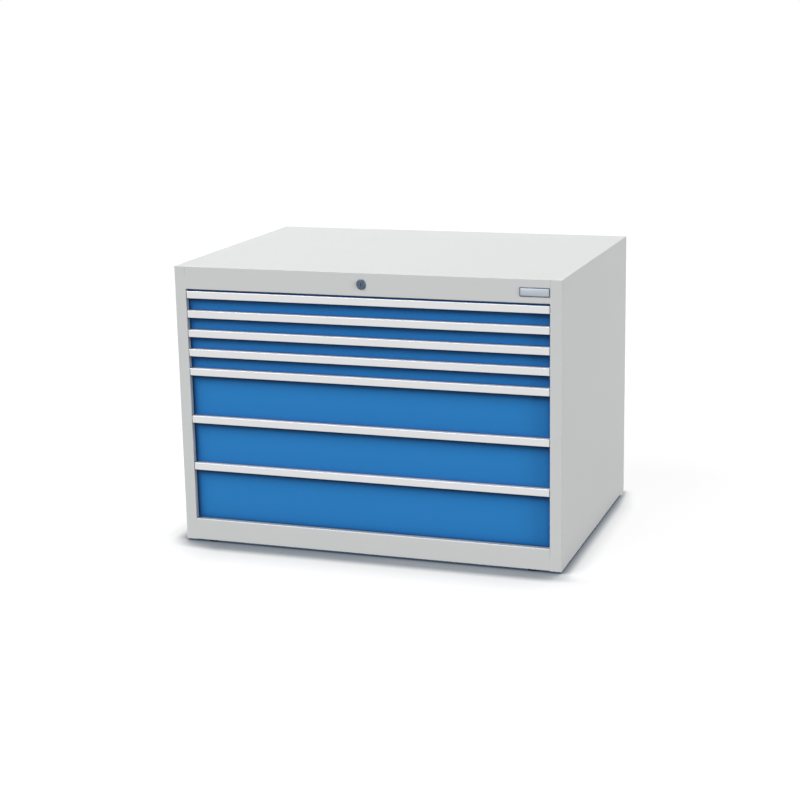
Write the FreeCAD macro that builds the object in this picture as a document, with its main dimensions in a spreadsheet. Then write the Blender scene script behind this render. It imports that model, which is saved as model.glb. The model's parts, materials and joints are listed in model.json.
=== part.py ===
"""Steel drawer cabinet with seven full-extension drawers and a central lock.

Millimetres.  X runs across the front, Y from the front to the back and Z up.
The origin is on the floor, in the middle of the cabinet's width and depth.
A drawer is drawn with the bottom edge of its front at height zero, and its
sub-parts are then lifted to the drawer's level.
"""

import FreeCAD, Part
import os
import re

import Sketcher

# Driving dimensions: name, value in millimetres, meaning.
SIZES = [
    ("cabinet_width", 1005, "over the side panels"),
    ("cabinet_depth", 736, "front frame to rear flanges"),
    ("glide_height", 5, "floor to the underside of the carcass"),
    ("plinth_height", 56.5, "bottom rail of the front frame"),
    ("top_rail_height", 58.3, "top rail of the front frame"),
    ("stile_width", 29.5, "side members of the front frame"),
    ("lid_gap", 5.2, "under the top rail, above the first front"),
    ("sill_gap", 1.2, "above the bottom rail, under the last front"),
    ("front_gap", 1.2, "between two fronts"),
    ("front_side_gap", 1.3, "between a front and the stile"),
    ("pitch_one", 50, "first drawer, top edge to top edge of the next"),
    ("pitch_two", 50, "second drawer"),
    ("pitch_three", 50, "third drawer"),
    ("pitch_four", 50, "fourth drawer"),
    ("pitch_five", 125, "fifth drawer"),
    ("pitch_six", 125, "sixth drawer"),
    ("pitch_seven", 150, "seventh drawer"),
    ("carcass_sheet", 1.5, "sheet of the carcass"),
    ("bend_radius", 2, "outside of a fold"),
    ("ground_edge", 1.0, "rounding of the welded top edges"),
    ("stile_return", 20, "fold behind the stile, along Y"),
    ("rail_return", 20, "fold behind the top rail, along Y"),
    ("rear_flange", 25, "folds round the back panel"),
    ("foot_flange", 40, "folds under the carcass that carry the glides"),
    ("glide_radius", 16, "floor glide"),
    ("glide_inset", 45, "floor glide, centre to the end of the plinth"),
    ("upright_sheet", 1.5, "sheet of the slotted uprights"),
    ("upright_width", 40, "slotted upright, along Y"),
    ("upright_inset", 30, "centre of an upright to the end of a rail"),
    ("upright_slot_width", 6, "slot in an upright"),
    ("upright_slot_height", 14, "slot in an upright"),
    ("upright_slot_pitch", 50, "slot to slot"),
    ("rail_setback", 3, "rails and uprights, behind the tray's front"),
    ("rail_inset", 3.3, "rail's back, inwards from the frame opening"),
    ("channel_depth", 8, "outer and inner channel of a slide, along X"),
    ("channel_height", 22, "outer and inner channel of a slide"),
    ("channel_sheet", 1.5, "sheet of the channels"),
    ("slide_gap", 0.5, "channel to carriage"),
    ("carriage_sheet", 1.5, "sheet of the carriage"),
    ("carriage_flange", 6, "folds of the carriage, along X"),
    ("carriage_inset", 50, "carriage's ends, inwards from the rail's ends"),
    ("roller_clearance", 0.2, "roller to the channel's flange"),
    ("roller_side_gap", 0.7, "roller to the channel's web"),
    ("roller_inset", 15, "rollers, from the carriage's end"),
    ("shoe_length", 30, "guide shoe"),
    ("shoe_inset", 12, "guide shoe, from the carriage's middle"),
    ("slide_axis", 17, "slide's centre above the front's bottom edge"),
    ("front_recess", 14, "panel behind the frame's face"),
    ("pan_depth", 14, "depth of the folded front panel"),
    ("front_sheet", 1.2, "sheet of the front panel"),
    ("grip_setback", 1.5, "grip strip behind the frame's face"),
    ("grip_height", 18.2, "grip strip, front lip"),
    ("grip_lip", 2, "grip strip, thickness of the lip"),
    ("grip_web", 1.6, "grip strip, thickness of the web on top"),
    ("grip_bead", 4.5, "grip strip, hooked lower edge, along Y"),
    ("grip_bead_height", 2, "grip strip, hooked lower edge"),
    ("grip_rib", 1.4, "grip strip, rib before the panel's face"),
    ("grip_rib_height", 5, "grip strip, rib before the panel's face"),
    ("grip_seat", 8, "grip strip, seat on the panel's top"),
    ("grip_round", 0.8, "grip strip, rounding of the lip"),
    ("tray_sheet", 1.2, "sheet of the tray"),
    ("tray_lift", 2, "tray's underside above the front's bottom edge"),
    ("tray_headroom", 12.5, "pitch less the tray's height"),
    ("tray_rim", 6, "folded rim of the tray's sides"),
    ("rear_space", 102.6, "tray's back to the back panel"),
    ("divider_pitch", 100, "slot to slot in the tray's walls"),
    ("divider_slot", 3, "width of a divider slot"),
    ("divider_low", 8, "divider slot above the tray's underside"),
    ("divider_high", 6, "divider slot below the tray's rim"),
    ("lock_drop", 28.5, "lock's centre below the top"),
    ("rosette_radius", 12, "lock housing, flange"),
    ("rosette_proud", 2.5, "lock housing, flange before the rail's face"),
    ("rosette_chamfer", 1, "lock housing, flange edge"),
    ("housing_radius", 9.5, "lock housing, barrel"),
    ("housing_length", 22, "lock housing, behind the rail's face"),
    ("nut_width", 25, "lock nut, across the flats"),
    ("nut_height", 4, "lock nut"),
    ("core_radius", 6, "lock core"),
    ("core_proud", 0.5, "lock core before the housing"),
    ("key_width", 1.4, "key slit"),
    ("key_height", 8, "key slit"),
    ("key_depth", 8, "key slit"),
    ("fit_clearance", 0.05, "running fit, on the radius"),
    ("shaft_radius", 4, "lock shaft"),
    ("bracket_sheet", 2, "shaft bracket"),
    ("bracket_width", 30, "shaft bracket"),
    ("bracket_drop", 12, "shaft bracket, below the shaft's centre"),
    ("bracket_foot", 20, "shaft bracket, fold under the top"),
    ("bracket_stand", 22, "shaft bracket, before the tray's back"),
    ("crank_width", 18, "crank plate"),
    ("crank_gap", 3.6, "crank plate behind the tray's back"),
    ("crank_thickness", 4, "crank plate"),
    ("crank_throw", 7.071, "crank pin's circle, half a right angle each way"),
    ("crank_pin_radius", 2.5, "crank pin"),
    ("crank_pin_clearance", 0.35, "crank pin in the bar's slot"),
    ("bar_gap", 7.6, "locking bar behind the tray's back"),
    ("bar_sheet", 3, "locking bar"),
    ("bar_offset", 16, "locking bar's near edge from the middle"),
    ("bar_width", 24, "locking bar"),
    ("bar_tail", 6, "locking bar below the last tooth"),
    ("head_height", 26, "slotted head of the locking bar"),
    ("tooth_sheet", 4, "tooth and head of the locking bar"),
    ("tooth_height", 8, "tooth of the locking bar"),
    ("tooth_reach", 6, "tooth beyond the middle"),
    ("tooth_overlap", 14, "tooth on the locking bar"),
    ("tooth_lift", 11, "unlocked tooth above the catch arm"),
    ("catch_height", 16, "catch arm's underside above the tray's"),
    ("catch_sheet", 3, "catch arm"),
    ("catch_width", 20, "catch arm"),
    ("catch_shift", 2, "catch arm's centre from the middle"),
    ("catch_foot", 11, "catch arm's fold on the tray's back"),
    ("stud_width", 8, "catch stud, across the flats"),
    ("stud_height", 8, "catch stud"),
    ("stud_gap", 3, "tooth to catch stud"),
    ("catch_end", 6, "catch arm beyond the stud's centre"),
    ("post_sheet", 1.5, "lock post"),
    ("post_width", 40, "lock post"),
    ("post_depth", 25, "lock post"),
    ("guide_gap", 0.3, "locking bar to its guides"),
    ("guide_height", 12, "guide straps of the locking bar"),
    ("guide_foot", 14, "guide strap's foot on the lock post"),
    ("guide_cover", 8, "locking bar's width before the lock post"),
]

# Sizes and places that follow from the driving dimensions.
DERIVED = {
    "half_width": "cabinet_width / 2",
    "front_plane": "-cabinet_depth / 2",
    "rear_plane": "cabinet_depth / 2",
    "wall_face": "half_width - carcass_sheet",
    "back_face": "rear_plane - 2 * carcass_sheet",
    "opening_half": "half_width - stile_width",
    "flange_half": "half_width - rear_flange",
    "sill": "glide_height + plinth_height",
    "fronts_height": "pitch_one + pitch_two + pitch_three + pitch_four"
                     " + pitch_five + pitch_six + pitch_seven - front_gap",
    "lintel": "sill + sill_gap + fronts_height + lid_gap",
    "cabinet_top": "lintel + top_rail_height",
    "ceiling": "cabinet_top - carcass_sheet",
    "lock_level": "cabinet_top - lock_drop",
    # slides, from the outside in
    "rail_face": "opening_half - rail_inset",
    "rail_tip": "rail_face - channel_depth",
    "carriage_face": "rail_tip - slide_gap",
    "carriage_back": "carriage_face - carriage_sheet",
    "runner_tip": "carriage_back - slide_gap",
    "tray_half": "runner_tip - channel_depth",
    "tray_inside": "tray_half - tray_sheet",
    "channel_half": "channel_height / 2",
    "carriage_inner_half": "channel_half + slide_gap",
    "carriage_outer_half": "carriage_inner_half + carriage_sheet",
    "carriage_tip": "carriage_face + carriage_flange - carriage_sheet",
    "roller_radius": "channel_half - channel_sheet - roller_clearance",
    "roller_width": "slide_gap + channel_depth - channel_sheet - roller_side_gap",
    # drawers, from the front to the back
    "panel_face": "front_plane + front_recess",
    "grip_face": "front_plane + grip_setback",
    "front_half": "opening_half - front_side_gap",
    "tray_front": "panel_face + pan_depth",
    "tray_back": "back_face - rear_space",
    "rail_front": "tray_front + rail_setback",
    "carriage_front": "rail_front + carriage_inset",
    "carriage_rear": "tray_back - carriage_inset",
    "carriage_middle": "(carriage_front + carriage_rear) / 2",
    # locking gear behind the trays
    "crank_front": "tray_back + crank_gap",
    "crank_rear": "crank_front + crank_thickness",
    "bar_front": "tray_back + bar_gap",
    "tooth_front": "bar_front + bar_sheet",
    "tooth_rear": "tooth_front + tooth_sheet",
    "bar_far": "bar_offset + bar_width",
    "stud_centre": "tooth_rear + stud_gap + stud_width / 2",
    "catch_rear": "stud_centre + catch_end",
    "crank_rise": "crank_throw * sin(45 deg)",
    "slot_half": "crank_pin_radius + crank_pin_clearance",
    "post_front": "tooth_front + guide_gap",
    "post_near": "bar_far - guide_cover",
    "guide_front": "bar_front - guide_gap",
}

PITCHES = ["pitch_one", "pitch_two", "pitch_three", "pitch_four",
           "pitch_five", "pitch_six", "pitch_seven"]

DOC = FreeCAD.newDocument("DrawerCabinet")
SHEET = DOC.addObject("Spreadsheet::Sheet", "Sizes")
ALIASES = {name for name, value, meaning in SIZES}


def fill_sheet():
    """Write the driving dimensions and their meanings into the sheet."""
    for row, (name, value, meaning) in enumerate(SIZES, start=1):
        SHEET.set(f"A{row}", name)
        SHEET.set(f"B{row}", str(value))
        SHEET.set(f"C{row}", meaning)
        SHEET.setAlias(f"B{row}", name)
    DOC.recompute()


def formula(text):
    """Expand derived names and point every size at its cell in the sheet."""
    def swap(match):
        word = match.group(0)
        if word in DERIVED:
            return "(" + formula(DERIVED[word]) + ")"
        return f"Sizes.{word}" if word in ALIASES else word
    return re.sub(r"[a-z_]+", swap, str(text))


def number(text):
    """The formula's value now."""
    return float(SHEET.evalExpression(formula(text)))


def bind(thing, prop, text):
    thing.setExpression(prop, formula(text))


# ---------------------------------------------------------------- modelling


def new_body(label):
    body = DOC.addObject("PartDesign::Body", label)
    body.Label = label
    return body


def new_sketch(body, plane, start, end):
    """A sketch on an origin plane, set off so that a pad fills start to end.

    XY_Plane pads along Z and YZ_Plane along X.  XZ_Plane faces the front, so
    its sketch stands at the far end.
    """
    sketch = body.newObject("Sketcher::SketchObject", f"{body.Label}_sketch")
    support = next(f for f in body.Origin.OriginFeatures if f.Role == plane)
    sketch.AttachmentSupport = [(support, "")]
    sketch.MapMode = "FlatFace"
    offset = f"-({end})" if plane == "XZ_Plane" else start
    bind(sketch, "AttachmentOffset.Base.z", offset)
    return sketch


def pin_point(sketch, geometry, corner, point):
    """Hold a vertex (or a circle's centre) at two formulas."""
    for kind, text in zip(("DistanceX", "DistanceY"), point):
        held = Sketcher.Constraint(kind, -1, 1, geometry, corner, number(text))
        index = sketch.addConstraint(held)
        bind(sketch, f"Constraints[{index}]", text)


def add_outline(sketch, points):
    """A closed outline with a vertex at each (across, up) pair of formulas."""
    first = sketch.GeometryCount
    corners = [FreeCAD.Vector(number(a), number(b), 0) for a, b in points]
    count = len(corners)
    for i, corner in enumerate(corners):
        sketch.addGeometry(Part.LineSegment(corner, corners[(i + 1) % count]))
    for i in range(count):
        following = first + (i + 1) % count
        sketch.addConstraint(Sketcher.Constraint("Coincident", first + i, 2, following, 1))
        pin_point(sketch, first + i, 1, points[i])


def add_circle(sketch, centre, radius):
    middle = FreeCAD.Vector(number(centre[0]), number(centre[1]), 0)
    circle = Part.Circle(middle, FreeCAD.Vector(0, 0, 1), number(radius))
    index = sketch.addGeometry(circle)
    held = sketch.addConstraint(Sketcher.Constraint("Radius", index, number(radius)))
    bind(sketch, f"Constraints[{held}]", radius)
    pin_point(sketch, index, 3, centre)


def extrude(body, sketch, start, end, cut):
    kind = "PartDesign::Pocket" if cut else "PartDesign::Pad"
    feature = body.newObject(kind, f"{body.Label}_{'cut' if cut else 'pad'}")
    feature.Profile = sketch
    # a pocket runs against the sketch's normal unless it is turned round
    feature.Reversed = cut
    bind(feature, "Length", f"({end}) - ({start})")
    return feature


def prism(body, plane, outlines, start, end, cut=False):
    """Pad (or cut) outlines of formulas from start to end along the plane's axis."""
    sketch = new_sketch(body, plane, start, end)
    for points in outlines:
        add_outline(sketch, points)
    return extrude(body, sketch, start, end, cut)


def discs(body, plane, centres, radius, start, end, cut=False):
    """Pad (or cut) equal circles from start to end along the plane's axis."""
    sketch = new_sketch(body, plane, start, end)
    for centre in centres:
        add_circle(sketch, centre, radius)
    return extrude(body, sketch, start, end, cut)


def box(low_across, low_up, high_across, high_up):
    """A rectangle as outline points."""
    return [(low_across, low_up), (high_across, low_up),
            (high_across, high_up), (low_across, high_up)]


def hexagon(across, up, width):
    """A hexagon about a centre, its width across the flats that face up and down."""
    side, flat = f"{width} / 2 / cos(30 deg)", f"{width} / 2"
    return [(f"{across} + {side}", up),
            (f"{across} + {side} / 2", f"{up} + {flat}"),
            (f"{across} - {side} / 2", f"{up} + {flat}"),
            (f"{across} - {side}", up),
            (f"{across} - {side} / 2", f"{up} - {flat}"),
            (f"{across} + {side} / 2", f"{up} - {flat}")]


def repeat(body, feature, axis, step, count):
    """Repeat a feature along an origin axis."""
    pattern = body.newObject("PartDesign::LinearPattern", f"{body.Label}_row")
    pattern.Originals = [feature]
    line = next(f for f in body.Origin.OriginFeatures if f.Role == axis)
    pattern.Direction = (line, [""])
    bind(pattern, "Length", f"({step}) * (({count}) - 1)")
    bind(pattern, "Occurrences", count)
    body.Tip = pattern
    DOC.recompute()
    return pattern


def lines_at(feature, axis, places):
    """Names of the straight edges along an axis, through the given places."""
    others = [i for i in range(3) if i != axis]
    wanted = [(number(a), number(b)) for a, b in places]
    names = []
    for index, edge in enumerate(feature.Shape.Edges, start=1):
        start, end = edge.Vertexes[0].Point, edge.Vertexes[-1].Point
        if any(abs(start[i] - end[i]) > 1e-6 for i in others):
            continue
        here = [start[i] for i in others]
        if any(abs(here[0] - a) + abs(here[1] - b) < 1e-4 for a, b in wanted):
            names.append(f"Edge{index}")
    return names


def dress(body, kind, size_name, size, edges):
    """Fillet or chamfer edges of the body's tip."""
    base = body.Tip
    feature = body.newObject(kind, f"{body.Label}_edge")
    feature.Base = (base, edges)
    bind(feature, size_name, size)
    DOC.recompute()
    return feature


def round_lines(body, axis, places, radius):
    """Round the straight edges along an axis, through the given places."""
    DOC.recompute()
    return dress(body, "PartDesign::Fillet", "Radius", radius,
                 lines_at(body.Tip, axis, places))


def mirrored(source, label):
    """The same piece on the other side of the cabinet's middle."""
    copy = DOC.addObject("Part::Mirroring", label)
    copy.Label = label
    copy.Source = source
    copy.Normal = FreeCAD.Vector(1, 0, 0)
    return copy


def together(label, pieces, level=None):
    """Several solids as one sub-part, lifted to a level."""
    group = DOC.addObject("Part::Compound", label)
    group.Label = label
    group.Links = pieces
    if level:
        bind(group, "Placement.Base.z", level)
    return group


# ------------------------------------------------------------------ carcass


def side_panel():
    """Right side: a full-height sheet folded into the stile, rear flange and foot."""
    body = new_body("side_panel_right")
    plan = [
        ("opening_half", "front_plane"),
        ("half_width", "front_plane"),
        ("half_width", "rear_plane"),
        ("flange_half", "rear_plane"),
        ("flange_half", "rear_plane - carcass_sheet"),
        ("wall_face", "rear_plane - carcass_sheet"),
        ("wall_face", "front_plane + carcass_sheet"),
        ("opening_half + carcass_sheet", "front_plane + carcass_sheet"),
        ("opening_half + carcass_sheet", "front_plane + stile_return"),
        ("opening_half", "front_plane + stile_return"),
    ]
    prism(body, "XY_Plane", [plan], "glide_height", "ceiling")
    foot = [
        ("opening_half + carcass_sheet", "front_plane + carcass_sheet"),
        ("wall_face", "front_plane + carcass_sheet"),
        ("wall_face", "rear_plane - foot_flange"),
        ("opening_half", "rear_plane - foot_flange"),
        ("opening_half", "front_plane + stile_return"),
        ("opening_half + carcass_sheet", "front_plane + stile_return"),
    ]
    prism(body, "XY_Plane", [foot], "glide_height", "glide_height + carcass_sheet")
    round_lines(body, 2, plan[0:3], "bend_radius")
    return body


def top_panel():
    """Top sheet with the top rail folded down at the front and a rear flange."""
    body = new_body("top_panel")
    lid = box("-half_width", "front_plane", "half_width", "rear_plane")
    prism(body, "XY_Plane", [lid], "ceiling", "cabinet_top")
    inside = "front_plane + carcass_sheet"
    rail = [
        ("front_plane", "ceiling"),
        ("front_plane", "lintel"),
        ("front_plane + rail_return", "lintel"),
        ("front_plane + rail_return", "lintel + carcass_sheet"),
        (inside, "lintel + carcass_sheet"),
        (inside, "ceiling"),
    ]
    prism(body, "YZ_Plane", [rail], "-opening_half", "opening_half")
    flange = box("rear_plane - carcass_sheet", "ceiling - rear_flange",
                 "rear_plane", "ceiling")
    prism(body, "YZ_Plane", [flange], "-flange_half", "flange_half")
    discs(body, "XZ_Plane", [("0", "lock_level")], "housing_radius + fit_clearance",
          "front_plane", inside, cut=True)
    round_lines(body, 0, [rail[1]], "bend_radius")
    rim = lines_at(body.Tip, 0, [("front_plane", "cabinet_top"),
                                 ("rear_plane", "cabinet_top")])
    rim += lines_at(body.Tip, 1, [("half_width", "cabinet_top"),
                                  ("-half_width", "cabinet_top")])
    dress(body, "PartDesign::Fillet", "Radius", "ground_edge", rim)
    return body


def floor_panel():
    """Floor sheet with tabs into the stiles, the plinth and foot flanges for the glides."""
    body = new_body("floor_panel")
    right = [
        ("opening_half", "front_plane"),
        ("opening_half", "front_plane + stile_return"),
        ("wall_face", "front_plane + stile_return"),
        ("wall_face", "rear_plane - carcass_sheet"),
        ("flange_half", "rear_plane - carcass_sheet"),
        ("flange_half", "rear_plane"),
    ]
    left = [(f"-{across}", along) for across, along in reversed(right)]
    prism(body, "XY_Plane", [right + left], "sill - carcass_sheet", "sill")
    for plane, inward, half in (("front_plane", "+", "opening_half"),
                                ("rear_plane", "-", "flange_half")):
        plinth = [
            (plane, "sill - carcass_sheet"),
            (plane, "glide_height"),
            (f"{plane} {inward} foot_flange", "glide_height"),
            (f"{plane} {inward} foot_flange", "glide_height + carcass_sheet"),
            (f"{plane} {inward} carcass_sheet", "glide_height + carcass_sheet"),
            (f"{plane} {inward} carcass_sheet", "sill - carcass_sheet"),
        ]
        prism(body, "YZ_Plane", [plinth], f"-{half}", half)
    round_lines(body, 0, [("front_plane", "sill"), ("front_plane", "glide_height")],
                "bend_radius")
    tabs = [box(f"{side}(opening_half + carcass_sheet)", "front_plane + 2 * carcass_sheet",
                f"{side}wall_face", "front_plane + stile_return + carcass_sheet")
            for side in ("", "-")]
    prism(body, "XY_Plane", tabs, "sill - carcass_sheet", "sill")
    return body


def back_panel():
    """Plain sheet seated inside the rear flanges."""
    body = new_body("back_panel")
    plan = box("-wall_face", "back_face", "wall_face", "rear_plane - carcass_sheet")
    prism(body, "XY_Plane", [plan], "sill", "ceiling")
    return body


def upright(label, centre):
    """Channel with a row of slots for the rails, open towards the side panel."""
    body = new_body(label)
    front = f"{centre} - upright_width / 2"
    rear = f"{centre} + upright_width / 2"
    plan = [
        ("wall_face", front),
        ("rail_face", front),
        ("rail_face", rear),
        ("wall_face", rear),
        ("wall_face", f"{rear} - upright_sheet"),
        ("rail_face + upright_sheet", f"{rear} - upright_sheet"),
        ("rail_face + upright_sheet", f"{front} + upright_sheet"),
        ("wall_face", f"{front} + upright_sheet"),
    ]
    prism(body, "XY_Plane", [plan], "sill", "ceiling")
    low = "sill + upright_slot_pitch / 2"
    slot = box(f"{centre} - upright_slot_width / 2", low,
               f"{centre} + upright_slot_width / 2", f"{low} + upright_slot_height")
    cut = prism(body, "YZ_Plane", [slot], "rail_face", "rail_face + upright_sheet", cut=True)
    repeat(body, cut, "Z_Axis", "upright_slot_pitch",
           "floor((ceiling - sill) / upright_slot_pitch)")
    return body


def uprights():
    front = upright("upright_front", "rail_front + upright_inset")
    rear = upright("upright_rear", "tray_back - upright_inset")
    right = together("uprights_right", [front, rear])
    return [right, mirrored(right, "uprights_left")]


def floor_glides():
    """Four plastic discs under the foot flanges."""
    body = new_body("floor_glides")
    across = "(opening_half - glide_inset)"
    front = "front_plane + foot_flange / 2"
    rear = "rear_plane - foot_flange / 2"
    centres = [(across, front), (across, rear), (f"-{across}", front), (f"-{across}", rear)]
    discs(body, "XY_Plane", centres, "glide_radius", "0", "glide_height")
    return body


# ------------------------------------------------------------------- slides


def channel(label, web, tip, sheet, half, start, end):
    """Rolled channel along Y, its web at one place and its flanges to another."""
    body = new_body(label)
    inner = f"{web} + {sheet}" if number(tip) > number(web) else f"{web} - {sheet}"
    section = [
        (web, f"slide_axis - {half}"),
        (tip, f"slide_axis - {half}"),
        (tip, f"slide_axis - {half} + {sheet}"),
        (inner, f"slide_axis - {half} + {sheet}"),
        (inner, f"slide_axis + {half} - {sheet}"),
        (tip, f"slide_axis + {half} - {sheet}"),
        (tip, f"slide_axis + {half}"),
        (web, f"slide_axis + {half}"),
    ]
    prism(body, "XZ_Plane", [section], start, end)
    return body


def rollers():
    """Rollers and guide shoes of one carriage side.

    The front roller and shoe run in the drawer's channel, the rear shoe and
    roller in the cabinet's, so each channel holds both at full extension.
    """
    body = new_body("rollers_right")
    body.AllowCompound = True
    inner_side = ("carriage_back - roller_width", "carriage_back")
    outer_side = ("carriage_face", "carriage_face + roller_width")
    low, high = "slide_axis - roller_radius", "slide_axis + roller_radius"
    front_end = "carriage_middle - shoe_inset"
    rear_end = "carriage_middle + shoe_inset"
    front_shoe = box(f"{front_end} - shoe_length", low, front_end, high)
    rear_shoe = box(rear_end, low, f"{rear_end} + shoe_length", high)
    discs(body, "YZ_Plane", [("carriage_front + roller_inset", "slide_axis")],
          "roller_radius", *inner_side)
    prism(body, "YZ_Plane", [front_shoe], *inner_side)
    prism(body, "YZ_Plane", [rear_shoe], *outer_side)
    discs(body, "YZ_Plane", [("carriage_rear - roller_inset", "slide_axis")],
          "roller_radius", *outer_side)
    return body


def slides(levels):
    """Fixed rails, and each drawer's pair of carriages."""
    rail = channel("rail_right", "rail_face", "rail_tip", "channel_sheet",
                   "channel_half", "rail_front", "tray_back")
    rail_pair = [rail, mirrored(rail, "rail_left")]
    rails = [together(f"rails_level_{n}", rail_pair, level)
             for n, level in enumerate(levels, start=1)]
    nodes = [together("cabinet_rails", rails)]

    carriage = channel("carriage_right", "carriage_back", "carriage_tip", "carriage_sheet",
                       "carriage_outer_half", "carriage_front", "carriage_rear")
    carriage_pair = [carriage, mirrored(carriage, "carriage_left")]
    roller_row = rollers()
    roller_pair = [roller_row, mirrored(roller_row, "rollers_left")]
    for n, level in enumerate(levels, start=1):
        nodes.append(together(f"carriage_{n}_rails", carriage_pair, level))
        nodes.append(together(f"carriage_{n}_rollers", roller_pair, level))
    return nodes


# ------------------------------------------------------------------ drawers


def tray(n, pitch, level):
    """Sheet tray with folded rims, and slots for dividers from front to back."""
    body = new_body(f"drawer_{n}_tray")
    rim = f"tray_lift + {pitch} - tray_headroom"
    outside = box("-tray_half", "tray_front", "tray_half", "tray_back")
    prism(body, "XY_Plane", [outside], "tray_lift", rim)
    hollow = box("-tray_inside", "tray_front + tray_sheet",
                 "tray_inside", "tray_back - tray_sheet")
    prism(body, "XY_Plane", [hollow], "tray_lift + tray_sheet", rim, cut=True)
    rims = [box("tray_half", "tray_front", "tray_half + tray_rim", "tray_back"),
            box("-tray_half - tray_rim", "tray_front", "-tray_half", "tray_back")]
    prism(body, "XY_Plane", rims, f"{rim} - tray_sheet", rim)

    low, high = "tray_lift + divider_low", f"{rim} - divider_high"
    first = "-tray_inside + divider_pitch"
    slot = box(f"{first} - divider_slot / 2", low, f"{first} + divider_slot / 2", high)
    cut = prism(body, "XZ_Plane", [slot], "tray_front", "tray_back", cut=True)
    repeat(body, cut, "X_Axis", "divider_pitch",
           "ceil(2 * tray_inside / divider_pitch) - 1")
    bind(body, "Placement.Base.z", level)
    return body


def front(n, pitch, level):
    """Front panel: a shallow pan, open towards the tray."""
    body = new_body(f"drawer_{n}_front")
    top = f"{pitch} - front_gap - grip_web"
    face = box("-front_half", "0", "front_half", top)
    prism(body, "XZ_Plane", [face], "panel_face", "tray_front")
    hollow = box("-front_half + front_sheet", "front_sheet",
                 "front_half - front_sheet", f"{top} - front_sheet")
    prism(body, "XZ_Plane", [hollow], "panel_face + front_sheet", "tray_front", cut=True)
    DOC.recompute()
    edges = lines_at(body.Tip, 0, [("panel_face", "0"), ("panel_face", top)])
    edges += lines_at(body.Tip, 2, [("front_half", "panel_face"),
                                    ("-front_half", "panel_face")])
    dress(body, "PartDesign::Fillet", "Radius", "front_sheet", edges)
    bind(body, "Placement.Base.z", level)
    return body


def grip(n, pitch, level):
    """Full-width extruded grip: a hooked lip, a web and a rib round the panel's top."""
    body = new_body(f"drawer_{n}_grip")
    top = f"{pitch} - front_gap"
    lip_low = f"{top} - grip_height"
    web_low = f"{top} - grip_web"
    section = [
        ("grip_face", top),
        ("grip_face", lip_low),
        ("grip_face + grip_bead", lip_low),
        ("grip_face + grip_bead", f"{lip_low} + grip_bead_height"),
        ("grip_face + grip_lip", f"{lip_low} + grip_bead_height"),
        ("grip_face + grip_lip", web_low),
        ("panel_face - grip_rib", web_low),
        ("panel_face - grip_rib", f"{web_low} - grip_rib_height"),
        ("panel_face", f"{web_low} - grip_rib_height"),
        ("panel_face", web_low),
        ("panel_face + grip_seat", web_low),
        ("panel_face + grip_seat", top),
    ]
    prism(body, "YZ_Plane", [section], "-front_half", "front_half")
    round_lines(body, 0, section[0:2], "grip_round")
    bind(body, "Placement.Base.z", level)
    return body


def runner_pieces():
    """Pieces that every drawer carries: two inner channels, a catch arm and its stud."""
    right = channel("runner_right", "tray_half", "runner_tip", "channel_sheet",
                    "channel_half", "tray_front", "tray_back")
    left = mirrored(right, "runner_left")
    arm = new_body("catch_arm")
    low = "tray_lift + catch_height"
    section = [
        ("tray_back", f"{low} - catch_foot"),
        ("tray_back + catch_sheet", f"{low} - catch_foot"),
        ("tray_back + catch_sheet", low),
        ("catch_rear", low),
        ("catch_rear", f"{low} + catch_sheet"),
        ("tray_back", f"{low} + catch_sheet"),
    ]
    prism(arm, "YZ_Plane", [section], "catch_shift - catch_width / 2",
          "catch_shift + catch_width / 2")
    stud = new_body("catch_stud")
    prism(stud, "XY_Plane", [hexagon("catch_shift", "stud_centre", "stud_width")],
          f"{low} + catch_sheet", f"{low} + catch_sheet + stud_height")
    return [right, left, arm, stud]


def drawers(levels):
    nodes = []
    runner_set = runner_pieces()
    for n, (pitch, level) in enumerate(zip(PITCHES, levels), start=1):
        nodes.append(tray(n, pitch, level))
        nodes.append(front(n, pitch, level))
        nodes.append(grip(n, pitch, level))
        nodes.append(together(f"drawer_{n}_runners", runner_set, level))
    return nodes


# --------------------------------------------------------------------- lock


def lock_housing():
    body = new_body("lock_housing")
    axis = [("0", "lock_level")]
    face = "front_plane - rosette_proud"
    rear = "front_plane + housing_length"
    flange = discs(body, "XZ_Plane", axis, "rosette_radius", face, "front_plane")
    DOC.recompute()
    rim = [f"Edge{i}" for i, edge in enumerate(flange.Shape.Edges, start=1)
           if edge.Closed and abs(edge.CenterOfMass.y - number(face)) < 1e-6]
    dress(body, "PartDesign::Chamfer", "Size", "rosette_chamfer", rim)
    discs(body, "XZ_Plane", axis, "housing_radius", "front_plane", rear)
    discs(body, "XZ_Plane", axis, "core_radius + fit_clearance", face, rear, cut=True)
    return body


def lock_nut():
    """Hexagon nut that draws the housing's flange onto the top rail."""
    body = new_body("lock_nut")
    start = "front_plane + carcass_sheet"
    prism(body, "XZ_Plane", [hexagon("0", "lock_level", "nut_width")],
          start, f"{start} + nut_height")
    discs(body, "XZ_Plane", [("0", "lock_level")], "housing_radius + fit_clearance",
          start, f"{start} + nut_height", cut=True)
    return body


def lock_core():
    """Turning plug with an upright key slit."""
    body = new_body("lock_core")
    face = "front_plane - rosette_proud - core_proud"
    discs(body, "XZ_Plane", [("0", "lock_level")], "core_radius",
          face, "front_plane + housing_length")
    slit = box("-key_width / 2", "lock_level - key_height / 2",
               "key_width / 2", "lock_level + key_height / 2")
    prism(body, "XZ_Plane", [slit], face, f"{face} + key_depth", cut=True)
    return body


def lock_shaft():
    body = new_body("lock_shaft")
    discs(body, "XZ_Plane", [("0", "lock_level")], "shaft_radius",
          "front_plane + housing_length", "crank_front")
    return body


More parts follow.
